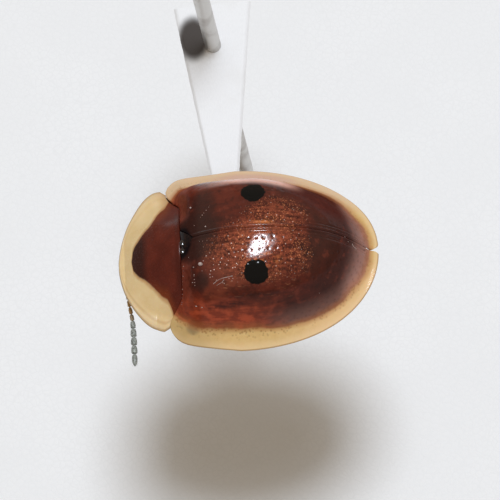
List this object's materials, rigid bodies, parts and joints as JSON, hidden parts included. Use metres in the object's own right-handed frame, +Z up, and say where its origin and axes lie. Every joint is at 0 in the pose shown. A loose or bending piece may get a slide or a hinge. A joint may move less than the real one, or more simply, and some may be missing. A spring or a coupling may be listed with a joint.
{
  "type": "tortoise beetle specimen",
  "caption": "Life-size dried tortoise beetle with domed amber wing cases, pale rims and dark spots, glued to a card point on a steel pin in a foam block.",
  "frame": {"origin": "middle of the underside of the foam block", "axes": "+Z up along the pin, the beetle faces -Y and its left side is towards +X"},
  "size_m": [0.021, 0.021, 0.0265],
  "materials": {
    "amber_shell": "glossy red-brown chitin with rows of fine pits",
    "pale_shield": "smooth cream brim with a red-brown middle",
    "dark_body": "satin dark brown chitin",
    "black_eye": "glossy black",
    "brown_leg": "satin brown chitin",
    "white_foam": "matt fine-celled foam",
    "white_card": "matt white card",
    "pin_steel": "bright drawn steel",
    "clear_glue": "dried glue, smooth and slightly yellow"
  },
  "bodies": {
    "root": {"abdomen": "dark_body", "antenna_left": "brown_leg", "antenna_right": "brown_leg", "card_point": "white_card", "elytron_left": "amber_shell", "elytron_right": "amber_shell", "eye_left": "black_eye", "eye_right": "black_eye", "glue": "clear_glue", "head": "dark_body", "leg_front_left": "brown_leg", "leg_front_right": "brown_leg", "leg_hind_left": "brown_leg", "leg_hind_right": "brown_leg", "leg_middle_left": "brown_leg", "leg_middle_right": "brown_leg", "pin": "pin_steel", "pronotum": "pale_shield", "prothorax": "dark_body", "scutellum": "dark_body", "stand_base": "white_foam", "thorax": "dark_body"}
  },
  "joints": []
}
